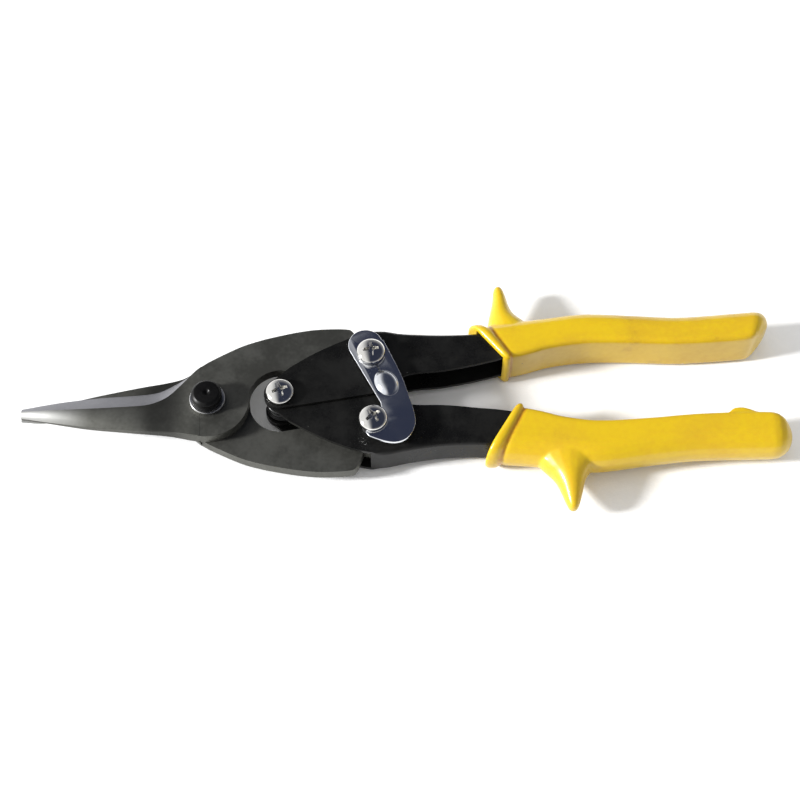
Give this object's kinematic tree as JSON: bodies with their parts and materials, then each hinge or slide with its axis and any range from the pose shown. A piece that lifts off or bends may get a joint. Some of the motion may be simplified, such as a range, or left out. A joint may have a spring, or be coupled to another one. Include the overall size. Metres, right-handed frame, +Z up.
{
  "type": "aviation snips",
  "caption": "Compound-leverage sheet metal snips: two straight bevelled blades on a bolt, folded channel handles with horned vinyl grips, a coil spring and a swinging latch plate",
  "frame": {"origin": "On the axis of the main pivot that joins the blades, at the level the closed tool rests on when it lies flat", "axes": "+X runs from the main pivot towards the grips with the jaws towards -X, +Y towards the upper handle, +Z up through the stack of blades and handles"},
  "size_m": [0.2477, 0.083, 0.0219],
  "materials": {
    "blade": "dark satin forged steel, oiled, ground bright on the bevels",
    "black_bolt": "black oxide, satin",
    "zinc": "bright zinc plate",
    "black_handle": "satin black enamel",
    "vinyl": "yellow vinyl, slightly glossy, fine dark specks",
    "chrome": "polished chrome plate",
    "spring_steel": "oil-tempered spring wire"
  },
  "bodies": {
    "lower_handle": {"lower_handle_channel": "black_handle", "lower_grip": "vinyl", "handle_pivot_barrel": "zinc", "handle_pivot_screw": "chrome", "opening_spring": "spring_steel", "lower_tail_barrel": "zinc", "lower_tail_screw": "chrome", "latch_catch_collar": "zinc", "lower_tail_spacer": "zinc", "lower_tail_washer": "zinc"},
    "upper_handle": {"upper_handle_channel": "black_handle", "upper_grip": "vinyl", "upper_tail_barrel": "zinc", "upper_tail_screw": "chrome", "upper_tail_spacer": "zinc", "upper_tail_washer": "zinc", "latch_spring_washer": "spring_steel"},
    "blade_back": {"blade_back": "blade", "main_pivot_bolt": "black_bolt", "main_pivot_washer": "zinc", "main_pivot_back_washer": "zinc", "main_pivot_lock_nut": "zinc"},
    "blade_front": {"blade_front": "blade"},
    "latch": {"latch_plate": "chrome"}
  },
  "joints": [
    {"name": "handle_pivot", "type": "hinge", "parent": "lower_handle", "child": "upper_handle", "pos_m": [0.0235, 0, 0], "axis": [0, 0, 1], "range_deg": [0, 30], "deforming": ["opening_spring"]},
    {"name": "back_blade_tail_pivot", "type": "hinge", "parent": "lower_handle", "child": "blade_back", "pos_m": [0.0531, -0.0122, 0], "axis": [0, 0, 1], "range_deg": [0, 7.2]},
    {"name": "front_blade_tail_pivot", "type": "hinge", "parent": "upper_handle", "child": "blade_front", "pos_m": [0.0531, 0.0122, 0], "axis": [0, 0, 1], "range_deg": [-7.2, 0]},
    {"name": "latch_pivot", "type": "hinge", "parent": "upper_handle", "child": "latch", "pos_m": [0.0531, 0.0122, 0], "axis": [0, 0, 1], "range_deg": [0, 60]}
  ],
  "couplings": [
    {"joint": "back_blade_tail_pivot", "follows": "handle_pivot", "ratio": 0.232},
    {"joint": "front_blade_tail_pivot", "follows": "handle_pivot", "ratio": -0.232},
    {"joint": "latch_pivot", "follows": "handle_pivot", "ratio": 2}
  ]
}
